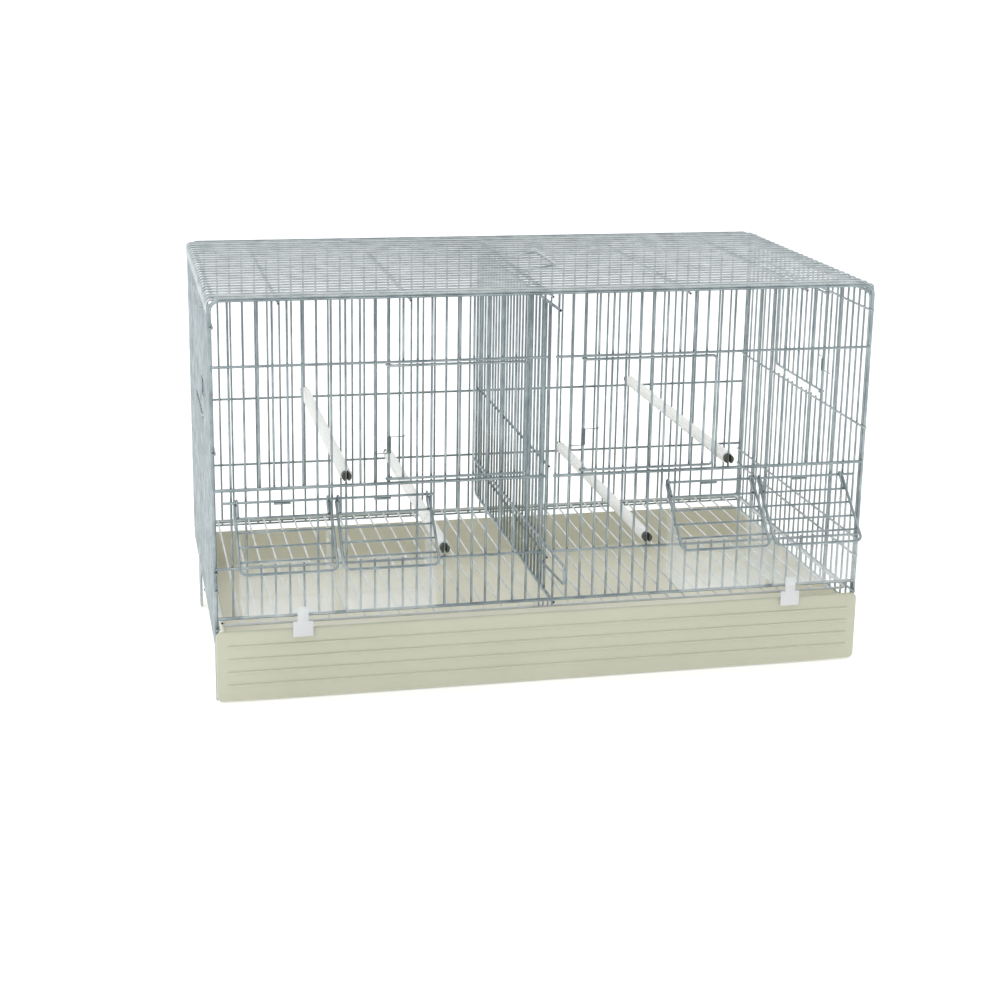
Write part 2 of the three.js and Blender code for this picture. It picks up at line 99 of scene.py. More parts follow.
class Wires:
    """Collects round wires into one mesh."""

    def __init__(self):
        self.v, self.f, self.n, self.cut = [], [], 0, []

    def tube(self, points, r, sides=10, closed=False, round_end=0.35):
        p = np.array([list(q) for q in points], float)
        keep = [0] + [i for i in range(1, len(p)) if np.linalg.norm(p[i] - p[i - 1]) > 1e-6]
        p = p[keep]
        m = len(p)
        radii = np.full(m, r)
        if not closed:
            e = r * round_end
            d0 = (p[0] - p[1]) / np.linalg.norm(p[0] - p[1])
            d1 = (p[-1] - p[-2]) / np.linalg.norm(p[-1] - p[-2])
            p = np.vstack([p[0], p[0] - d0 * e, p[1:-1], p[-1] - d1 * e, p[-1]])
            radii = np.concatenate([[r * 0.82], [r], radii[1:-1], [r], [r * 0.82]])
            m = len(p)
        if closed:
            t = np.roll(p, -1, 0) - np.roll(p, 1, 0)
        else:
            t = np.empty_like(p)
            t[1:-1] = p[2:] - p[:-2]
            t[0], t[-1] = p[1] - p[0], p[-1] - p[-2]
            # the tangent of a straight run next to a bend stays along the run
        t /= np.linalg.norm(t, axis=1)[:, None]
        ref = np.array([0, 0, 1.0]) if abs(t[0][2]) < 0.9 else np.array([1.0, 0, 0])
        u = np.cross(t[0], ref)
        u /= np.linalg.norm(u)
        us = [u]
        for k in range(1, m):
            a, b = t[k - 1], t[k]
            c = np.cross(a, b)
            s = np.linalg.norm(c)
            u = us[-1]
            if s > 1e-9:
                c /= s
                ang = math.atan2(s, float(np.dot(a, b)))
                u = u * math.cos(ang) + np.cross(c, u) * math.sin(ang) + c * np.dot(c, u) * (1 - math.cos(ang))
            u = u - b * np.dot(u, b)
            us.append(u / np.linalg.norm(u))
        us = np.array(us)
        ws = np.cross(t, us)
        ang = np.arange(sides) * 2 * math.pi / sides
        ring = us[:, None, :] * np.cos(ang)[None, :, None] + ws[:, None, :] * np.sin(ang)[None, :, None]
        verts = p[:, None, :] + ring * radii[:, None, None]
        base = self.n
        self.v.append(verts.reshape(-1, 3))
        self.n += m * sides
        last = m if closed else m - 1
        for k in range(last):
            k2 = (k + 1) % m
            for j in range(sides):
                j2 = (j + 1) % sides
                self.f.append((base + k * sides + j, base + k * sides + j2, base + k2 * sides + j2, base + k2 * sides + j))
        if not closed:
            self.cut += [len(self.f), len(self.f) + 1]
            self.f.append(tuple(base + j for j in reversed(range(sides))))
            self.f.append(tuple(base + (m - 1) * sides + j for j in range(sides)))
        return self

    def line(self, a, b, r, sides=10):
        return self.tube([a, b], r, sides)

    def blob(self, centre, rx, ry, rz, rings=4, sides=8):
        """A small weld nugget."""
        base = self.n
        cx, cy, cz = centre
        vs = [(cx, cy, cz - rz)]
        for i in range(1, rings):
            th = math.pi * i / rings
            for j in range(sides):
                ph = 2 * math.pi * j / sides
                vs.append((cx + rx * math.sin(th) * math.cos(ph), cy + ry * math.sin(th) * math.sin(ph), cz - rz * math.cos(th)))
        vs.append((cx, cy, cz + rz))
        self.v.append(np.array(vs))
        self.n += len(vs)
        for j in range(sides):
            self.f.append((base, base + 1 + (j + 1) % sides, base + 1 + j))
        for i in range(rings - 2):
            for j in range(sides):
                a = base + 1 + i * sides
                self.f.append((a + j, a + (j + 1) % sides, a + sides + (j + 1) % sides, a + sides + j))
        a = base + 1 + (rings - 2) * sides
        for j in range(sides):
            self.f.append((a + j, a + (j + 1) % sides, base + len(vs) - 1))
        return self

    def make(self, name, mat, body, *nodes, slot="zinc_wire", second=None):
        v = (np.vstack(self.v) + np.array([0, BACK, LIFT])) * 0.001
        me = bpy.data.meshes.new(name)
        me.from_pydata(v.tolist(), [], self.f)
        me.update()
        me.polygons.foreach_set("use_smooth", [len(p.vertices) <= 4 for p in me.polygons])
        o = bpy.data.objects.new(name, me)
        bpy.context.scene.collection.objects.link(o)
        me.materials.append(mat)
        me.materials.append(second or M_CUT)
        for k in self.cut:
            me.polygons[k].material_index = 1
        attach(o, body)
        if nodes:
            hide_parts(*nodes)
        return o


def arc_pts(centre, r, a0, a1, plane, n=14, shift=0.0):
    """Points round a centre. plane "xy", "yz" or "xz"; shift moves along the third axis over the arc."""
    out = []
    for k in range(n + 1):
        a = a0 + (a1 - a0) * k / n
        c, s, d = r * math.cos(a), r * math.sin(a), shift * k / n
        if plane == "xy":
            out.append((centre[0] + c, centre[1] + s, centre[2] + d))
        elif plane == "yz":
            out.append((centre[0] + d, centre[1] + c, centre[2] + s))
        else:
            out.append((centre[0] + c, centre[1] + d, centre[2] + s))
    return out


# ------------------------------------------------------------------ materials
def node_material(name):
    m = bpy.data.materials.new(name)
    m.use_nodes = True
    nt = m.node_tree
    return m, nt, nt.nodes["Principled BSDF"]


def ramp(nt, fac, stops):
    r = nt.nodes.new("ShaderNodeValToRGB")
    el = r.color_ramp.elements
    while len(el) < len(stops):
        el.new(0.5)
    for e, (pos, col) in zip(el, stops):
        e.position = pos
        e.color = (*col, 1)
    nt.links.new(fac, r.inputs["Fac"])
    return r.outputs["Color"]


def noise(nt, scale, detail=3.0, rough=0.5, vec=None, dist=0.0):
    n = nt.nodes.new("ShaderNodeTexNoise")
    n.inputs["Scale"].default_value = scale
    n.inputs["Detail"].default_value = detail
    n.inputs["Roughness"].default_value = rough
    n.inputs["Distortion"].default_value = dist
    if vec is None:
        tc = nt.nodes.new("ShaderNodeTexCoord")
        vec = tc.outputs["Object"]
    nt.links.new(vec, n.inputs["Vector"])
    return n.outputs["Fac"]


def remap(nt, fac, lo, hi):
    r = nt.nodes.new("ShaderNodeMapRange")
    r.inputs["To Min"].default_value = lo
    r.inputs["To Max"].default_value = hi
    nt.links.new(fac, r.inputs["Value"])
    return r.outputs["Result"]


def bump(nt, bsdf, fac, strength, distance):
    b = nt.nodes.new("ShaderNodeBump")
    b.inputs["Strength"].default_value = strength
    b.inputs["Distance"].default_value = distance
    nt.links.new(fac, b.inputs["Height"])
    nt.links.new(b.outputs["Normal"], bsdf.inputs["Normal"])


def zinc(name, dark, mid, light, metallic=0.85, rough=(0.3, 0.5)):
    m, nt, b = node_material(name)
    # cloudy zinc spangle, with fine drawing marks and dull patches
    big = noise(nt, 60, 4, 0.6)
    fine = noise(nt, 900, 2, 0.5)
    col = ramp(nt, big, [(0.25, dark), (0.5, mid), (0.78, light)])
    nt.links.new(col, b.inputs["Base Color"])
    nt.links.new(remap(nt, big, rough[1], rough[0]), b.inputs["Roughness"])
    b.inputs["Metallic"].default_value = metallic
    bump(nt, b, fine, 0.25, 0.0002)
    return m


M_ZINC = zinc("galvanised_wire", (0.18, 0.22, 0.238), (0.29, 0.345, 0.362), (0.44, 0.50, 0.512), 0.9, (0.26, 0.42))
# painted light: lighter copies of the same zinc wire. The side panels, side doors and handle take a brighter base
# colour, and the roof a brighter one still, standing in for the light that falls on them from above and the side
M_ZINC_PAINTED_LIT = zinc("galvanised_wire_painted_lit", (0.26, 0.305, 0.32), (0.39, 0.44, 0.455), (0.55, 0.60, 0.61), 0.88, (0.26, 0.42))
M_ZINC_ROOF_PAINTED_LIT = zinc("galvanised_wire_roof_painted_lit", (0.40, 0.45, 0.465), (0.55, 0.60, 0.615), (0.70, 0.745, 0.755), 0.86, (0.26, 0.42))
M_PALE = zinc("bright_wire", (0.54, 0.575, 0.575), (0.66, 0.69, 0.69), (0.78, 0.80, 0.79), 0.45, (0.28, 0.42))
M_SPRING = zinc("spring_wire", (0.13, 0.16, 0.175), (0.22, 0.265, 0.28), (0.34, 0.39, 0.40), 0.9, (0.26, 0.42))
M_CUT = zinc("cut_ends", (0.020, 0.024, 0.028), (0.034, 0.040, 0.045), (0.060, 0.068, 0.072), 0.5, (0.5, 0.6))


def plastic(name, base, shade, rough=0.42, grain=0.12, scale=14, bump_scale=1400, bump_dist=0.00012, spec=0.5):
    m, nt, b = node_material(name)
    cloud = noise(nt, scale, 4, 0.55)
    col = ramp(nt, cloud, [(0.3, shade), (0.7, base)])
    nt.links.new(col, b.inputs["Base Color"])
    nt.links.new(remap(nt, noise(nt, 90, 3, 0.6), rough - 0.06, rough + 0.08), b.inputs["Roughness"])
    b.inputs["Specular IOR Level"].default_value = spec
    bump(nt, b, noise(nt, bump_scale, 2, 0.6), grain, bump_dist)
    return m


M_CREAM = plastic("tray_cream", (0.60, 0.605, 0.475), (0.565, 0.572, 0.45), 0.4)
M_WHITE = plastic("clip_white", (0.74, 0.75, 0.765), (0.69, 0.70, 0.715), 0.35)
# painted light: a brighter copy of the tray's cream plastic, the same plastic as outside, for the basin's inside walls
# and floor, which lie in shade
M_CREAM_INSIDE_LIT = plastic("tray_cream_inside_painted_light", (0.80, 0.785, 0.665), (0.74, 0.725, 0.60), 0.45, scale=9)
M_PERCH = plastic("perch_plastic", (0.90, 0.91, 0.88), (0.85, 0.86, 0.83), 0.4)
M_PERCH.node_tree.nodes["Principled BSDF"].inputs["Subsurface Weight"].default_value = 0.12
M_PERCH.node_tree.nodes["Principled BSDF"].inputs["Subsurface Radius"].default_value = (0.004, 0.004, 0.003)
M_OLIVE = plastic("cap_olive", (0.045, 0.052, 0.030), (0.026, 0.030, 0.018), 0.42)


def clear(name):
    m, nt, b = node_material(name)
    lw = nt.nodes.new("ShaderNodeLayerWeight")
    lw.inputs["Blend"].default_value = 0.35
    haze = noise(nt, 45, 3, 0.5)
    col = ramp(nt, haze, [(0.3, (0.83, 0.88, 0.89)), (0.7, (0.90, 0.94, 0.945))])
    nt.links.new(col, b.inputs["Base Color"])
    add = nt.nodes.new("ShaderNodeMath")
    add.operation = "MULTIPLY_ADD"
    add.inputs[1].default_value = 0.26
    nt.links.new(lw.outputs["Facing"], add.inputs[0])
    nt.links.new(remap(nt, haze, 0.025, 0.055), add.inputs[2])
    nt.links.new(add.outputs[0], b.inputs["Alpha"])
    nt.links.new(remap(nt, noise(nt, 120, 2, 0.5), 0.06, 0.14), b.inputs["Roughness"])
    b.inputs["IOR"].default_value = 1.57
    b.inputs["Coat Weight"].default_value = 0.3
    b.inputs["Coat Roughness"].default_value = 0.05
    bump(nt, b, noise(nt, 25, 2, 0.4), 0.1, 0.0006)
    return m


M_CLEAR = clear("trough_clear")


# ------------------------------------------------------------------ front and back panels
def frame_loop(w, y, low, r=1.65, corner=9.0):
    w.tube(bend([(-HX, y, low), (-HX, y, TOP), (HX, y, TOP), (HX, y, low)], corner, 8), r, 14)


def in_any(i, spans):
    return any(a <= i <= b for a, b in spans)


CUT_FEED = [(3, 6), (10, 13), (34, 37), (41, 44)]
CUT_DOOR = [(13, 21), (27, 35)]
YC = FY - 2.05            # centre of the cross wires on the outer face of the bars

w = Wires()
frame_loop(w, FY, 58.2)
w.line((-HX, FY, H4), (HX, FY, H4), 1.45, 12)
for i in range(1, BARS + 1):
    x = bar_x(i) + wob(i)
    door, feed = in_any(i, CUT_DOOR), in_any(i, CUT_FEED)
    lo, hi = H4, TOP
    spans = [(lo, hi)]
    if door and feed:
        spans = [(H1 - 1.4, hi), (lo, H3 + 1.4)]
    elif door:
        spans = [(H1 - 1.4, hi), (lo, H2 + 1.6)]
    elif feed:
        spans = [(H2 - 1.6, hi), (lo, H3 + 1.4)]
    for a, b in spans:
        w.line((x, FY, a), (x + wob(i * 3 + 1, 0.12), FY, b), 0.98, 10)
        for z, r in ((H1, 1.15), (H2, 1.4), (H3, 1.15)):
            if a - 1 <= z <= b + 1:
                w.blob((x, FY - 1.0, z), 1.25, 0.7, 1.05)
    w.blob((x, FY - 0.9, H4), 1.3, 0.8, 1.1)
for z, r in ((H1, 1.15), (H2, 1.45), (H3, 1.15)):
    w.line((-HX + 0.4, YC, z), (bar_x(23) + 2.6, YC, z), r, 12)
    w.line((bar_x(24) - 2.0, YC, z), (HX - 0.4, YC, z), r, 12)
for d in (-6.05, -2.1, 2.1, 6.05):
    w.line((SLOT_X + d, FY - 0.1, 64.9 + 0.4 * wob(int(d * 10))), (SLOT_X + d, FY - 0.1, H4), 0.8, 10)
w.make("front_panel_wires", M_ZINC, "cage", "front_panel")

w = Wires()
frame_loop(w, BY, 54.2)
w.line((-HX, BY, B3), (HX, BY, B3), 1.25, 12)
w.line((-HX, BY + 0.3, B3 - 3.2), (HX, BY + 0.3, B3 - 3.2), 0.95, 10)
for i in range(1, BARS + 1):
    x = bar_x(i) + wob(i + 60)
    w.line((x, BY, B3 - 3.6), (x + wob(i * 5, 0.12), BY, TOP), 0.98, 10)
for z in (B1, B2):
    w.line((-HX + 0.4, BY + 2.05, z), (HX - 0.4, BY + 2.05, z), 1.15, 12)
    for i in range(1, BARS + 1):
        w.blob((bar_x(i) + wob(i + 60), BY + 1.0, z), 1.2, 0.7, 1.0)
w.make("back_panel_wires", M_ZINC, "cage", "back_panel")

# ------------------------------------------------------------------ roof
w = Wires()
RY0, RY1 = FY + 4.0, BY - 4.0
for s in (-1, 1):
    w.line((s * 283.6, RY0 - 2, TOP - 2.1), (s * 283.6, RY1 + 2, TOP - 2.1), 1.15, 12)
N = 24
for k in range(N + 1):
    y = RY0 + k * (RY1 - RY0) / N + wob(k + 9, 0.25)
    drop = 333.4 + wob(k, 0.8)
    w.tube(bend([(-290.1, y, drop), (-290.1, y, TOP), (290.1, y, TOP), (290.1, y, drop)], 3.4, 5), 1.3 if k in (1, N - 1) else 0.98, 10)
    for s in (-1, 1):
        w.blob((s * 283.6, y, TOP - 1.0), 1.1, 1.2, 0.7)
ROOF_CROSS = [bar_x(i) for i in (4.43, 13.47, 23.5, 33.5, 42.3)]
ZC = TOP - 3.1            # the cross wires hang under the roof wires and run out below the frame wires
for x in ROOF_CROSS:
    w.line((x, FY - 3.5, ZC), (x, BY + 3.5, ZC), 1.12, 12)
    for k in range(N + 1):
        y = RY0 + k * (RY1 - RY0) / N + wob(k + 9, 0.25)
        w.blob((x, y, TOP - 1.45), 1.2, 1.3, 0.95)
# the roof wires take the brightest painted-light copy of the zinc
w.make("roof_panel_wires", M_ZINC_ROOF_PAINTED_LIT, "cage", "roof_panel")

# handle: a wire loop laid flat on the roof, its two eyes round the middle cross wire
w = Wires()
hz = TOP + 2.6
y0, y1, hx = RY0 + 9.5 * (RY1 - RY0) / N, RY0 + 15.5 * (RY1 - RY0) / N, SLOT_X
for y, s in ((y0, 1), (y1, -1)):
    w.tube(arc_pts((hx, y - 1.1 * s, ZC), 2.4, math.radians(20), math.radians(335), "xz", 18, 2.0 * s), 1.0, 10)
w.tube(bend([(hx + 2.35, y0, ZC + 0.5), (hx + 34.7, y0, hz), (hx + 34.7, y1, hz), (hx + 2.35, y1, ZC + 0.5)], 6.5, 8), 1.25, 12)
# the handle takes the painted-light copy of the zinc
w.make("carry_handle_wire", M_ZINC_PAINTED_LIT, "handle", "carry_handle")

# ------------------------------------------------------------------ side panels and side doors
D_LOW, D_HIGH = SIDE_H[3] + 9, SIDE_H[4] - 4
for side, s in (("left", -1), ("right", 1)):
    w = Wires()
    X = s * SIDE_X
    w.tube(bend([(X, FY + 3.7, -LIFT), (X, FY + 3.7, SZ), (X, BY - 3.7, SZ), (X, BY - 3.7, SIDE_LOW), (X, FY + 3.7, SIDE_LOW)], 7, 7), 1.45, 12)
    foot = [(X, side_y(19), SIDE_LOW + 16), (X, side_y(19), 1.2 - LIFT), (X, side_y(20), 1.2 - LIFT), (X, side_y(20), SIDE_LOW + 16)]
    w.tube(bend(foot, 3.5, 6), 1.15, 12)
    for k in range(1, 25):
        y = side_y(k) + wob(k + (30 if s > 0 else 77))
        cut = SIDE_DOOR[0] < k < SIDE_DOOR[1]
        spans = [(SIDE_LOW, SIDE_H[3] + 1.4), (SIDE_H[4] - 1.4, SZ)] if cut else [(SIDE_LOW, SZ)]
        for a, b in spans:
            w.line((X, y, a), (X, y, b), 0.98, 10)
            for z in SIDE_H:
                if a - 1 <= z <= b + 1:
                    w.blob((X - s * 0.95, y, z), 0.7, 1.2, 1.0)
    for z in SIDE_H:
        xi = X - s * 2.0
        # each cross wire is bent round the front frame upright; at the back it runs straight to the frame
        fr = [(xi, BY - 5.5, z), (xi, FY + 2.4, z), (xi + s * 0.1, FY - 2.75, z - 0.4), (X + s * 0.9, FY - 2.9, z - 0.6)]
        w.tube(bend(fr, 1.2, 4), 1.05, 10)
        w.line((xi, BY - 6.5, z), (xi, BY + 1.2, z), 1.05, 10)
    # the side panels take the painted-light copy of the zinc
    w.make(side + "_side_panel_wires", M_ZINC_PAINTED_LIT, "cage", side + "_side_panel")

    w = Wires()
    ya, yb = side_y(SIDE_DOOR[0]), side_y(SIDE_DOOR[1]) - 3.6
    for z, up in ((D_LOW, 1), (D_HIGH, -1)):
        w.tube(arc_pts((X, ya, z - 1.4 * up), 2.15, math.radians(80), math.radians(80 + 290), "xy", 16, 1.2 * up), 0.95, 10)
    w.tube(bend([(X, ya + 2.0, D_LOW), (X, yb, D_LOW), (X, yb, D_HIGH), (X, ya + 2.0, D_HIGH)], 4.5, 6), 1.12, 12)
    for k in range(SIDE_DOOR[0] + 1, SIDE_DOOR[1]):
        w.line((X, side_y(k) + wob(k * 2 + 5), D_LOW), (X, side_y(k) + wob(k * 2 + 5), D_HIGH), 0.98, 10)
    # the side doors take the painted-light copy of the zinc
    w.make(side + "_side_door_wires", M_ZINC_PAINTED_LIT, side + "_side_door", "side_door_" + side)

    w = Wires()
    turns, zlo, h, rr = 15, D_LOW + 19.5, 12.0, 1.5
    pts = [(X + s * 1.5, ya - PITCH - 1.5, zlo), (X + s * 1.5, ya - 4, zlo)]
    n = turns * 14
    a0 = 0.0 if s > 0 else math.pi
    for k in range(n + 1):
        a = a0 + s * 2 * math.pi * (turns + 0.0) * k / n
        pts.append((X + rr * math.cos(a), ya + rr * math.sin(a), zlo + h * k / n))
    pts += [(X + s * 1.6, ya + 3.5, zlo + h), (X + s * 1.5, ya + PITCH + 1.5, zlo + h)]
    w.tube(pts, 0.4, 6)
    w.make(side + "_side_door_spring", M_SPRING, "cage", "side_door_spring_" + side, slot="spring_steel")

# ------------------------------------------------------------------ front doors and springs
for side, i0, i1 in (("left", 12, 22), ("right", 26, 36)):
    x0, x1, z0, z1 = bar_x(i0), bar_x(i1) - 3.6, H2 + 4.0, H1 - 3.1
    yd = FY - 2.15
    w = Wires()
    for z, up in ((z0, 1), (z1, -1)):
        # the frame wire ends in a curl round the hinge bar
        w.tube(arc_pts((x0, FY, z - 0.9 * up), 2.15, math.radians(-85), math.radians(-85 - 300), "xy", 18, 1.4 * up), 1.0, 10)
        w.blob((x0 - 0.4, FY - 2.3, z), 2.1, 1.1, 1.7, 6, 10)
    w.tube(bend([(x0 + 0.6, yd, z0), (x1, yd, z0), (x1, yd, z1), (x0 + 0.6, yd, z1)], 3.6, 6), 1.15, 12)
    for i in range(i0 + 1, i1):
        x = bar_x(i) + wob(i + 200)
        w.line((x, FY - 0.1, z0 - 1.0), (x + wob(i + 9, 0.12), FY - 0.1, z1 + 1.0), 0.98, 10)
        for z in (z0, z1):
            w.blob((x, FY - 1.1, z), 1.2, 0.7, 1.0)
    w.make("door_" + side + "_wires", M_ZINC, side + "_door", "door_" + side)

    w = Wires()
    turns, zlo, h, rr = 17, 210.2, 14.2, 1.5
    pts = [(x0 - PITCH - 1.2, FY - 1.6, zlo - 0.8), (x0 - PITCH + 0.3, FY - 1.75, zlo), (x0 - 5.5, FY - 1.7, zlo)]
    n = turns * 14
    for k in range(n + 1):
        a = -math.pi / 2 + 2 * math.pi * turns * k / n
        pts.append((x0 + rr * math.cos(a), FY + rr * math.sin(a), zlo + h * k / n))
    pts += [(x0 + 5.5, FY - 1.7, zlo + h), (x0 + PITCH - 0.5, FY - 1.8, zlo + h), (x0 + PITCH + 1.4, FY - 1.6, zlo + h + 0.6)]
    w.tube(pts, 0.4, 6)
    w.make("door_spring_" + side + "_coil", M_SPRING, "cage", "door_spring_" + side, slot="spring_steel")

# ------------------------------------------------------------------ feeder rods, hoods, troughs
for side, a, b, hoods in (("left", -282.6, -102.4, (0, 1)), ("right", 104.0, 280.0, (2, 3))):
    w = Wires()
    w.line((a, ROD_Y, ROD_Z), (b, ROD_Y, ROD_Z), 1.12, 12)
    for n in hoods:
        x = bar_x(HOOD_AT[n])
        # short reinforcing wire welded under the rod
        w.line((x - 7, ROD_Y, ROD_Z - 1.95), (x + 7, ROD_Y, ROD_Z - 1.95), 1.02, 10)
    for i in range(1, BARS + 1):
        if a <= bar_x(i) <= b and not in_any(i, CUT_FEED):
            w.blob((bar_x(i), ROD_Y + 1.3, ROD_Z), 1.2, 1.9, 1.0)
    w.make("feeder_hinge_rod_" + side + "_wire", M_ZINC, "cage", "feeder_hinge_rod_" + side)

SL = math.hypot(HOOD_OUT, ROD_Z - HOOD_END_Z)
SD = ((-HOOD_OUT) / SL, (HOOD_END_Z - ROD_Z) / SL)
SN = (SD[1], -SD[0])          # outward and up from the hood's face


def on_hood(u, off=0.0):
    return (ROD_Y + SD[0] * SL * u + SN[0] * off, ROD_Z + SD[1] * SL * u + SN[1] * off)


for n, at in enumerate(HOOD_AT):
    x = bar_x(at)
    w = Wires()
    top = on_hood(0.03)
    end = on_hood(0.985)
    for s in (-1, 1):
        xs = x + s * HOOD_HALF
        a0 = math.atan2(SD[1], SD[0])
        # eye round the rod, then the doubled length beside the side wire
        eye = arc_pts((xs - s * 1.0, ROD_Y, ROD_Z), 2.3, a0 + 0.5, a0 + 2 * math.pi - 0.35, "yz", 18, -s * 1.3)
        tail = [(xs - s * 2.35, *on_hood(u)) for u in (0.07, 0.14, 0.2)]
        w.tube(eye + tail, 0.95, 9)
    side_l = (x - HOOD_HALF, *top)
    side_r = (x + HOOD_HALF, *top)
    w.tube(bend([side_l, (x - HOOD_HALF, *end), (x + HOOD_HALF, *end), side_r], 6.0, 7), 1.18, 12)
    for u in (0.2, 0.4, 0.6, 0.8):
        y, z = on_hood(u, -1.85)
        w.line((x - HOOD_HALF - 1.0, y, z), (x + HOOD_HALF + 1.0, y, z), 0.9, 10)
        for s in (-1, 1):
            yb_, zb_ = on_hood(u, -1.0)
            w.blob((x + s * HOOD_HALF, yb_, zb_), 1.1, 1.0, 1.0)
    w.make("feeder_hood_%d_wires" % (n + 1), M_ZINC, "hood_%d" % (n + 1), "feeder_hood_%d" % (n + 1))


# ------------------------------------------------------------------ moulded pieces
def moulded(node, name, mat, body, width, segments=3, angle=25):
    """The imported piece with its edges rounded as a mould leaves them."""
    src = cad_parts[node]
    bm = bmesh.new()
    bm.from_mesh(src.data)
    bmesh.ops.remove_doubles(bm, verts=bm.verts, dist=1e-6)
    bmesh.ops.dissolve_limit(bm, angle_limit=math.radians(1.0), verts=bm.verts, edges=bm.edges)
    me = bpy.data.meshes.new(name)
    bm.to_mesh(me)
    bm.free()
    me.materials.clear()
    me.materials.append(mat)
    o = bpy.data.objects.new(name, me)
    bpy.context.scene.collection.objects.link(o)
    me.polygons.foreach_set("use_smooth", [True] * len(me.polygons))
    b = o.modifiers.new("soft_edges", "BEVEL")
    b.width = width * 0.001
    b.segments = segments
    b.limit_method = "ANGLE"
    b.angle_limit = math.radians(angle)
    b.harden_normals = True
    b.miter_outer = "MITER_ARC"
    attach(o, body)
    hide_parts(node)
    return o


for n in range(1, 5):
    moulded("feeder_trough_%d" % n, "feeder_trough_%d_shell" % n, M_CLEAR, "cage", 0.45, 2)
for side in ("left", "right"):
    moulded("tray_clip_" + side, "tray_clip_" + side + "_body", M_WHITE, "tray", 0.5, 3)

# ------------------------------------------------------------------ droppings tray
def rounded(x0, x1, y0, y1, r, n=6):
    """Points round a rounded rectangle, counter-clockwise."""
    out = []
    for cx, cy, a0 in ((x1 - r, y0 + r, -90), (x1 - r, y1 - r, 0), (x0 + r, y1 - r, 90), (x0 + r, y0 + r, 180)):
        for k in range(n + 1):
            a = math.radians(a0 + 90 * k / n)
            out.append((cx + r * math.cos(a), cy + r * math.sin(a)))
    return out


def loft(w, rings):
    """Skins rings of equal length and closes both ends."""
    base, m = w.n, len(rings[0])
    for ring in rings:
        w.v.append(np.array(ring, float))
    w.n += m * len(rings)
    for k in range(len(rings) - 1):
        for j in range(m):
            j2 = (j + 1) % m
            w.f.append((base + k * m + j, base + k * m + j2, base + (k + 1) * m + j2, base + (k + 1) * m + j))
    w.f.append(tuple(base + j for j in reversed(range(m))))
    w.f.append(tuple(base + (len(rings) - 1) * m + j for j in range(m)))


def settle(o, angle=32.0):
    """Outward normals, and a crease wherever the surface turns sharply."""
    bm = bmesh.new()
    bm.from_mesh(o.data)
    bmesh.ops.recalc_face_normals(bm, faces=bm.faces)
    for f in bm.faces:
        f.smooth = True
    for e in bm.edges:
        if len(e.link_faces) == 2 and e.calc_face_angle(0.0) > math.radians(angle):
            e.smooth = False
    bm.to_mesh(o.data)
    bm.free()


FACE, APRON_BACK, APRON_X = FY - 6.6, FY - 3.6, 289.5
TX, TYF, TYB, WALL_TOP, FLOOR_Z = 281.0, FY - 4.2, BY - 12.0, 52.5, 16.0
w = Wires()
rings = []
for inset, y in ((1.5, FACE + 0.01), (0.75, FACE + 0.2), (0.2, FACE + 0.7), (0.0, FACE + 1.4), (0.0, APRON_BACK - 0.3), (0.3, APRON_BACK)):
    rings.append([(px, y, pz) for px, pz in rounded(-APRON_X + inset, APRON_X - inset, -2.5 + inset, 60.5 - inset, 5.2 - inset, 7)])
loft(w, rings)
rings = []
for inset, r, z in ((4.0, 5.0, FLOOR_Z - 2.4), (1.2, 6.5, FLOOR_Z - 1.6), (0.0, 7.5, FLOOR_Z + 1.0), (0.0, 7.5, WALL_TOP - 0.5), (0.4, 7.2, WALL_TOP), (1.7, 6.0, WALL_TOP),
                    (2.2, 5.5, WALL_TOP - 0.5), (2.2, 5.5, FLOOR_Z + 2.4), (3.1, 4.8, FLOOR_Z + 0.8), (5.0, 4.0, FLOOR_Z)):
    rings.append([(px, py, z) for px, py in rounded(-TX + inset, TX - inset, TYF + inset * 0.9, TYB - inset, r)])
mark = len(w.f)
loft(w, rings)
# the basin's inside walls and floor take the brighter painted-light cream in place of their shade
inside_lit_faces = list(range(mark + 6 * len(rings[0]), len(w.f) - 2)) + [len(w.f) - 1]
for k in range(4):
    z = 11.9 + k * 11.7
    w.tube([(-280.6, FACE + 0.5, z), (-278.0, FACE, z), (278.0, FACE, z), (280.6, FACE + 0.5, z)], 1.2, 12)
w.cut = inside_lit_faces
settle(w.make("droppings_tray_shell", M_CREAM, "tray", "droppings_tray", slot="cream_plastic", second=M_CREAM_INSIDE_LIT))

# ------------------------------------------------------------------ divider
w = Wires()
x = SLOT_X
ya, yb, za, zb = FY + 7, BY - 8, 78.0, 334.0
w.tube(bend([(x, FY - STUB, zb), (x, yb, zb), (x, yb, za), (x, FY - STUB, za)], 4, 6), 1.25, 12)
w.line((x, ya, za), (x, ya, zb), 1.2, 12)
xl = x - 2.1
w.tube(bend([(xl, yb + 1, 116), (xl, FY - LOOP, 124.5), (xl, FY - LOOP, 108.5), (xl, ya + 8, 102.5)], 5.0, 8), 1.12, 12)
for k in range(1, 24):
    y = ya + k * (yb - ya) / 24 + wob(k + 40)
    w.line((x, y, za - 0.8), (x, y, zb + 0.8), 0.98, 10)
    w.blob((x - 1.1, y, 116 + 8.5 * (yb - y) / (yb - FY + LOOP)), 0.8, 1.2, 1.0)
for z in (190, 107):
    w.line((x + 2.05, ya - 1, z), (x + 2.05, yb + 1, z), 1.05, 10)
    for k in range(0, 25):
        w.blob((x + 1.0, ya + k * (yb - ya) / 24, z), 0.7, 1.2, 1.0)
w.make("divider_grille_wires", M_ZINC, "divider", "divider_grille")

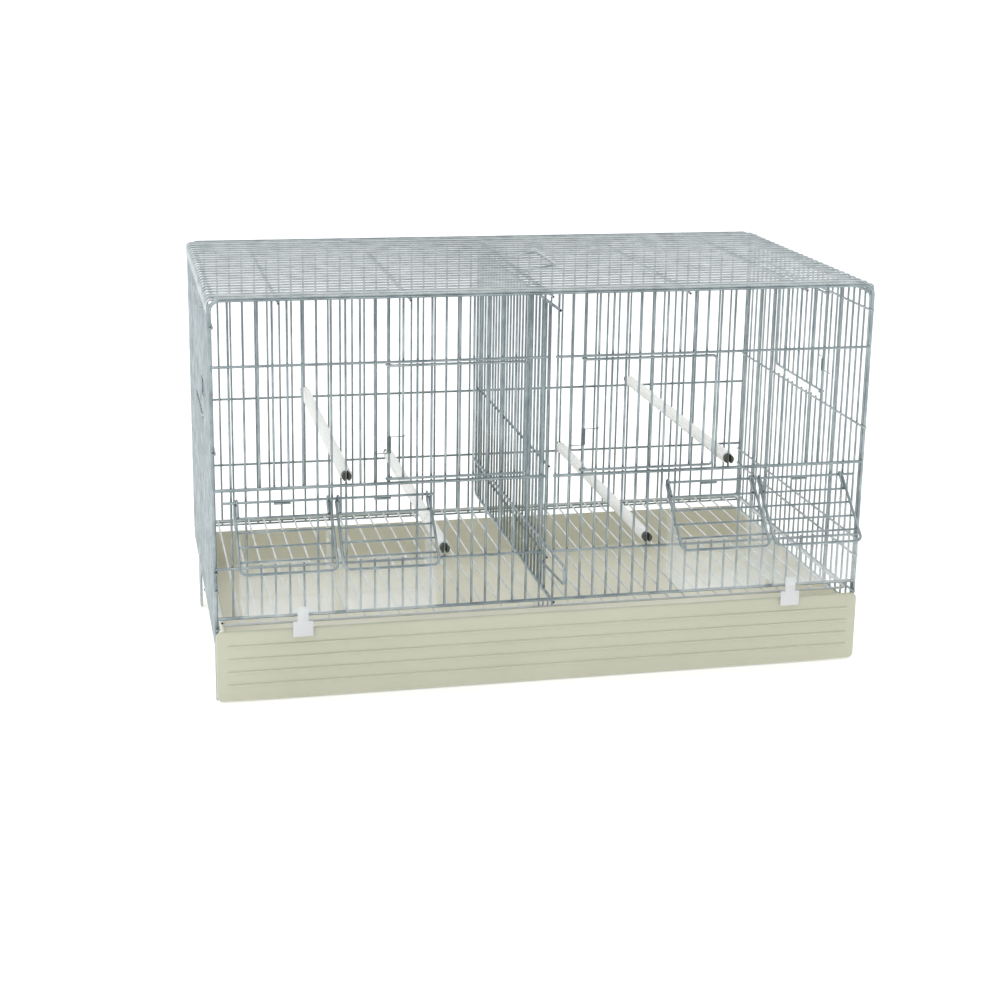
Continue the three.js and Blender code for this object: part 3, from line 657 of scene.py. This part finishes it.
# ------------------------------------------------------------------ floor grille
w = Wires()
gx, ya, yb = 284.0, FY + 5.4, BY - 8
w.tube(bend([(-gx + 1.3, ya, GRILLE_Z), (gx - 1.3, ya, GRILLE_Z), (gx - 1.3, yb, GRILLE_Z), (-gx + 1.3, yb, GRILLE_Z), (-gx + 1.3, ya + 6, GRILLE_Z)], 4, 5), 1.2, 12)
for k in range(1, 37):
    xx = -gx + 2 + k * (2 * gx - 4) / 37 + wob(k + 300)
    w.line((xx, ya - 0.2, GRILLE_Z), (xx, yb + 0.2, GRILLE_Z), 0.95, 10)
w.make("floor_grille_wires", M_PALE, "tray", "floor_grille", slot="pale_wire")

# ------------------------------------------------------------------ tray support wires
for name, y in (("front", FY + 12), ("rear", (side_y(19) + side_y(20)) / 2)):
    w = Wires()
    z = 12.0
    w.line((-285.7, y, z), (285.7, y, z), 1.25, 12)
    w.make("tray_support_wire_%s_round" % name, M_ZINC, "cage", "tray_support_wire_" + name)


# ------------------------------------------------------------------ perches
def lathe_y(name, profile, x, z, mat, body, node, flutes=0, depth=0.0, sides=48):
    """A turned piece along Y: profile is (y, radius) pairs from end to end, with shallow flutes."""
    v, f = [], []
    for y, r in profile:
        for j in range(sides):
            a = 2 * math.pi * j / sides
            rr = r
            if flutes and r > 3:
                rr -= depth * (0.5 - 0.5 * math.cos(a * flutes)) ** 3
            v.append(((x + rr * math.cos(a)) * 0.001, (y + BACK) * 0.001, (z + rr * math.sin(a) + LIFT) * 0.001))
    m = len(profile)
    for k in range(m - 1):
        for j in range(sides):
            j2 = (j + 1) % sides
            f.append((k * sides + j, k * sides + j2, (k + 1) * sides + j2, (k + 1) * sides + j))
    f.append(tuple(reversed(range(sides))))
    f.append(tuple((m - 1) * sides + j for j in range(sides)))
    me = bpy.data.meshes.new(name)
    me.from_pydata(v, [], f)
    bm = bmesh.new()
    bm.from_mesh(me)
    bmesh.ops.recalc_face_normals(bm, faces=bm.faces)
    bm.to_mesh(me)
    bm.free()
    me.polygons.foreach_set("use_smooth", [len(p.vertices) <= 4 for p in me.polygons])
    o = bpy.data.objects.new(name, me)
    bpy.context.scene.collection.objects.link(o)
    me.materials.append(mat)
    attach(o, body)
    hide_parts(node)
    return o


PERCH = [(9, 191.8), (16, 123.4), (37, 191.8), (31, 123.4)]
for n, (i, z) in enumerate(PERCH):
    x = bar_x(i)
    a, b = FY + 2.8, BY - 2.8
    prof = [(a, 4.0), (a + 0.3, 4.6), (a + 1.0, 5.05), (a + 2.0, 5.2), (a + 9, 5.2), (a + 9.6, 5.0), (a + 10.6, 5.0), (a + 11.2, 5.2),
            (b - 11.2, 5.2), (b - 10.6, 5.0), (b - 9.6, 5.0), (b - 9, 5.2), (b - 2.0, 5.2), (b - 1.0, 5.05), (b - 0.3, 4.6), (b, 4.0)]
    lathe_y("perch_%d_rod" % (n + 1), prof, x, z, M_PERCH, "cage", "perch_%d" % (n + 1), 12, 0.3, 96)
    for end in ("front", "rear"):
        moulded("perch_cap_%s_%d" % (end, n + 1), "perch_cap_%s_%d_plug" % (end, n + 1), M_OLIVE, "cage", 0.35, 2, 40)

# ------------------------------------------------------------------ stage, light, camera
def stage_plane():
    me = bpy.data.meshes.new("floor")
    s = 28.0
    me.from_pydata([(-s, -s, 0), (s, -s, 0), (s, s, 0), (-s, s, 0)], [], [(0, 1, 2, 3)])
    o = bpy.data.objects.new("floor", me)
    bpy.context.scene.collection.objects.link(o)
    m, nt, b = node_material("floor_white")
    b.inputs["Base Color"].default_value = (0.96, 0.96, 0.96, 1)
    b.inputs["Emission Color"].default_value = (1.0, 1.0, 1.0, 1)
    b.inputs["Emission Strength"].default_value = 0.3
    b.inputs["Roughness"].default_value = 0.9
    b.inputs["Specular IOR Level"].default_value = 0.1
    me.materials.append(m)


stage_plane()

world = bpy.data.worlds.new("studio")
bpy.context.scene.world = world
world.use_nodes = True
bg = world.node_tree.nodes["Background"]
bg.inputs["Color"].default_value = (1.0, 1.0, 1.0, 1)
wt = world.node_tree
# a white studio: bright overhead, behind and to the left, dimmer on the near side
gen = wt.nodes.new("ShaderNodeTexCoord").outputs["Generated"]
dot = wt.nodes.new("ShaderNodeVectorMath")
dot.operation = "DOT_PRODUCT"
dot.inputs[1].default_value = (0.30, -0.95, -0.05)
wt.links.new(gen, dot.inputs[0])
dim = wt.nodes.new("ShaderNodeMapRange")
dim.interpolation_type = "SMOOTHSTEP"
dim.inputs["From Min"].default_value = 0.1
dim.inputs["From Max"].default_value = 0.85
dim.inputs["To Min"].default_value = 1.2
dim.inputs["To Max"].default_value = 0.12
wt.links.new(dot.outputs["Value"], dim.inputs["Value"])
# level with the floor it stays white all round
level = wt.nodes.new("ShaderNodeVectorMath")
level.operation = "DOT_PRODUCT"
level.inputs[1].default_value = (0.0, 0.0, 1.0)
wt.links.new(gen, level.inputs[0])
band = wt.nodes.new("ShaderNodeMapRange")
band.inputs["From Min"].default_value = 0.05
band.inputs["From Max"].default_value = 0.14
band.inputs["To Min"].default_value = 1.2
band.inputs["To Max"].default_value = 0.0
wt.links.new(level.outputs["Value"], band.inputs["Value"])
top = wt.nodes.new("ShaderNodeMath")
top.operation = "MAXIMUM"
wt.links.new(dim.outputs["Result"], top.inputs[0])
wt.links.new(band.outputs["Result"], top.inputs[1])
wt.links.new(top.outputs[0], bg.inputs["Strength"])


def area(name, loc, target, size, power):
    l = bpy.data.lights.new(name, "AREA")
    l.shape = "RECTANGLE"
    l.size = l.size_y = size
    l.energy = power
    o = bpy.data.objects.new(name, l)
    o.location = loc
    o.rotation_euler = (Vector(target) - Vector(loc)).to_track_quat("-Z", "Y").to_euler()
    bpy.context.scene.collection.objects.link(o)


area("key", (-1.3, -2.0, 2.2), (0, 0, 0.15), 1.6, 15)
area("fill", (1.8, -1.4, 1.4), (0, 0, 0.15), 1.8, 5)

cam_data = bpy.data.cameras.new("camera")
cam = bpy.data.objects.new("camera", cam_data)
bpy.context.scene.collection.objects.link(cam)
bpy.context.scene.camera = cam
F_PX, SHIFT = 1801.9, -0.08
cam_data.sensor_width = 36.0
cam_data.sensor_fit = "HORIZONTAL"
cam_data.lens = F_PX / 1000.0 * 36.0
cam_data.shift_y = SHIFT
right = Vector((0.9761708491327752, -0.2164152860834992, 0.015965501958719305))
fwd = Vector((0.21355346300737282, 0.9449813127666642, -0.2478008009659184))
up = right.cross(fwd)
m = Matrix.Identity(4)
for r in range(3):
    m[r][0], m[r][1], m[r][2] = right[r], up[r], -fwd[r]
m.translation = Vector((-0.37303, -1.57793 + BACK * 0.001, 0.61522 + LIFT * 0.001))
cam.matrix_world = m
cam_data.clip_start = 0.05
cam_data.clip_end = 60

bpy.context.scene.view_settings.view_transform = "Standard"
